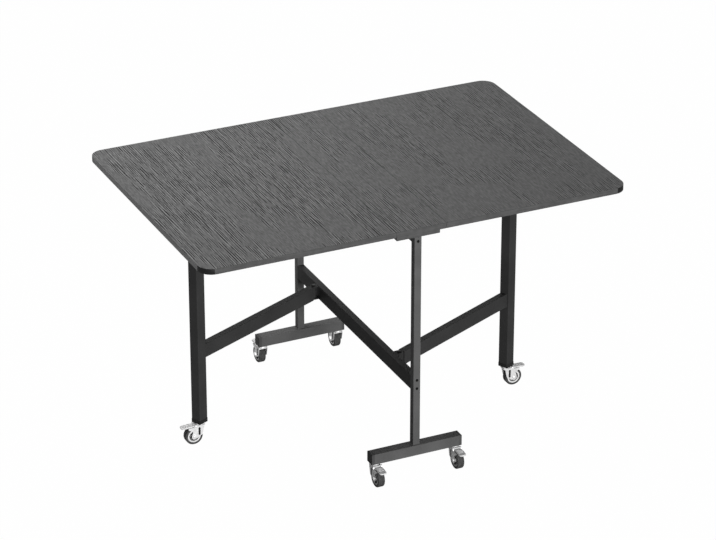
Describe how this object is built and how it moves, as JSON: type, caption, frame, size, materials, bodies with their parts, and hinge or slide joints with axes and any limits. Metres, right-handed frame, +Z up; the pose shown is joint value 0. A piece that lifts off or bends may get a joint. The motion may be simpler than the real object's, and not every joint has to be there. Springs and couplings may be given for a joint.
{
  "type": "folding dining table",
  "caption": "Rectangular drop-leaf dining table on braked casters: slim steel frame with T feet, grey wood-grain top, and swing-out gates that hold the leaves.",
  "frame": {"origin": "on the floor, under the middle of the open table's bounding box", "axes": "+X along the open tabletop towards the right leaf, +Y across the tabletop towards the back foot, +Z up"},
  "size_m": [1.2, 0.852, 0.73],
  "materials": {
    "board": "wood-grain laminate, satin",
    "frame_steel": "dark grey powder coat",
    "gate_steel": "black powder coat",
    "plastic": "moulded, matt",
    "bolt": "black oxide",
    "zinc": "bright zinc plate",
    "pedal": "moulded, matt",
    "rim": "moulded, matt",
    "tyre": "soft grip rubber"
  },
  "bodies": {
    "frame": {"centre_panel": "board", "post_front": "frame_steel", "post_back": "frame_steel", "foot_bar_front": "frame_steel", "foot_bar_back": "frame_steel", "foot_end_caps": "plastic", "lower_beam": "gate_steel", "top_rail": "frame_steel", "frame_bolts": "bolt", "gate_lugs": "gate_steel", "gate_pins": "bolt", "hinge_frame_plates": "zinc", "hinge_pins": "zinc", "foot_caster_stems": "zinc"},
    "left_leaf": {"leaf_left": "board", "leaf_rest_left": "plastic", "hinge_flaps_left": "zinc"},
    "left_gate": {"gate_arm_left": "gate_steel", "gate_post_left": "gate_steel", "gate_caps_left": "plastic", "gate_stem_left": "zinc"},
    "right_leaf": {"leaf_right": "board", "leaf_rest_right": "plastic", "hinge_flaps_right": "zinc"},
    "right_gate": {"gate_arm_right": "gate_steel", "gate_post_right": "gate_steel", "gate_caps_right": "plastic", "gate_stem_right": "zinc"},
    "front_left_swivel": {"fork_front_left": "zinc", "pins_front_left": "zinc"},
    "front_left_wheel": {"rim_front_left": "rim", "tyre_front_left": "tyre"},
    "front_left_brake": {"pedal_front_left": "pedal"},
    "front_right_swivel": {"fork_front_right": "zinc", "pins_front_right": "zinc"},
    "front_right_wheel": {"rim_front_right": "rim", "tyre_front_right": "tyre"},
    "front_right_brake": {"pedal_front_right": "pedal"},
    "back_left_swivel": {"fork_back_left": "zinc", "pins_back_left": "zinc"},
    "back_left_wheel": {"rim_back_left": "rim", "tyre_back_left": "tyre"},
    "back_left_brake": {"pedal_back_left": "pedal"},
    "back_right_swivel": {"fork_back_right": "zinc", "pins_back_right": "zinc"},
    "back_right_wheel": {"rim_back_right": "rim", "tyre_back_right": "tyre"},
    "back_right_brake": {"pedal_back_right": "pedal"},
    "gate_left_swivel": {"fork_gate_left": "zinc", "pins_gate_left": "zinc"},
    "gate_left_wheel": {"rim_gate_left": "rim", "tyre_gate_left": "tyre"},
    "gate_left_brake": {"pedal_gate_left": "pedal"},
    "gate_right_swivel": {"fork_gate_right": "zinc", "pins_gate_right": "zinc"},
    "gate_right_wheel": {"rim_gate_right": "rim", "tyre_gate_right": "tyre"},
    "gate_right_brake": {"pedal_gate_right": "pedal"}
  },
  "joints": [
    {"name": "left_leaf_lift", "type": "hinge", "parent": "frame", "child": "left_leaf", "pos_m": [-0.0729, 0, 0.711], "axis": [0, 1, 0], "range_deg": [0, 1.2]},
    {"name": "right_leaf_lift", "type": "hinge", "parent": "frame", "child": "right_leaf", "pos_m": [0.07035, 0, 0.711], "axis": [0, -1, 0], "range_deg": [0, 1.2]},
    {"name": "left_gate_swing", "type": "hinge", "parent": "frame", "child": "left_gate", "pos_m": [-0.0215, 0.2275, 0.27], "axis": [0, 0, 1], "range_deg": [0, 64]},
    {"name": "right_gate_swing", "type": "hinge", "parent": "frame", "child": "right_gate", "pos_m": [0.0215, -0.2275, 0.27], "axis": [0, 0, 1], "range_deg": [0, 64]},
    {"name": "front_left_swivel_turn", "type": "hinge", "parent": "frame", "child": "front_left_swivel", "pos_m": [-0.116, -0.37, 0.056], "axis": [0, 0, 1], "continuous": true},
    {"name": "front_left_wheel_roll", "type": "hinge", "parent": "front_left_swivel", "child": "front_left_wheel", "pos_m": [-0.116, -0.39, 0.025], "axis": [1, 0, 0], "continuous": true},
    {"name": "front_left_brake_release", "type": "hinge", "parent": "front_left_swivel", "child": "front_left_brake", "pos_m": [-0.116, -0.385, 0.0545], "axis": [-1, 0, 0], "range_deg": [0, 10]},
    {"name": "front_right_swivel_turn", "type": "hinge", "parent": "frame", "child": "front_right_swivel", "pos_m": [0.116, -0.37, 0.056], "axis": [0, 0, 1], "continuous": true},
    {"name": "front_right_wheel_roll", "type": "hinge", "parent": "front_right_swivel", "child": "front_right_wheel", "pos_m": [0.116, -0.39, 0.025], "axis": [1, 0, 0], "continuous": true},
    {"name": "front_right_brake_release", "type": "hinge", "parent": "front_right_swivel", "child": "front_right_brake", "pos_m": [0.116, -0.385, 0.0545], "axis": [-1, 0, 0], "range_deg": [0, 10]},
    {"name": "back_left_swivel_turn", "type": "hinge", "parent": "frame", "child": "back_left_swivel", "pos_m": [-0.116, 0.37, 0.056], "axis": [0, 0, 1], "continuous": true},
    {"name": "back_left_wheel_roll", "type": "hinge", "parent": "back_left_swivel", "child": "back_left_wheel", "pos_m": [-0.116, 0.39, 0.025], "axis": [-1, 0, 0], "continuous": true},
    {"name": "back_left_brake_release", "type": "hinge", "parent": "back_left_swivel", "child": "back_left_brake", "pos_m": [-0.116, 0.385, 0.0545], "axis": [1, 0, 0], "range_deg": [0, 10]},
    {"name": "back_right_swivel_turn", "type": "hinge", "parent": "frame", "child": "back_right_swivel", "pos_m": [0.116, 0.37, 0.056], "axis": [0, 0, 1], "continuous": true},
    {"name": "back_right_wheel_roll", "type": "hinge", "parent": "back_right_swivel", "child": "back_right_wheel", "pos_m": [0.116, 0.39, 0.025], "axis": [-1, 0, 0], "continuous": true},
    {"name": "back_right_brake_release", "type": "hinge", "parent": "back_right_swivel", "child": "back_right_brake", "pos_m": [0.116, 0.385, 0.0545], "axis": [1, 0, 0], "range_deg": [0, 10]},
    {"name": "gate_left_swivel_turn", "type": "hinge", "parent": "left_gate", "child": "gate_left_swivel", "pos_m": [-0.44656, 0.02929, 0.056], "axis": [0, 0, 1], "continuous": true},
    {"name": "gate_left_wheel_roll", "type": "hinge", "parent": "gate_left_swivel", "child": "gate_left_wheel", "pos_m": [-0.46656, 0.02929, 0.025], "axis": [0, -1, 0], "continuous": true},
    {"name": "gate_left_brake_release", "type": "hinge", "parent": "gate_left_swivel", "child": "gate_left_brake", "pos_m": [-0.46156, 0.02929, 0.0545], "axis": [0, 1, 0], "range_deg": [0, 10]},
    {"name": "gate_right_swivel_turn", "type": "hinge", "parent": "right_gate", "child": "gate_right_swivel", "pos_m": [0.44656, -0.02929, 0.056], "axis": [0, 0, 1], "continuous": true},
    {"name": "gate_right_wheel_roll", "type": "hinge", "parent": "gate_right_swivel", "child": "gate_right_wheel", "pos_m": [0.46656, -0.02929, 0.025], "axis": [0, 1, 0], "continuous": true},
    {"name": "gate_right_brake_release", "type": "hinge", "parent": "gate_right_swivel", "child": "gate_right_brake", "pos_m": [0.46156, -0.02929, 0.0545], "axis": [0, -1, 0], "range_deg": [0, 10]}
  ]
}
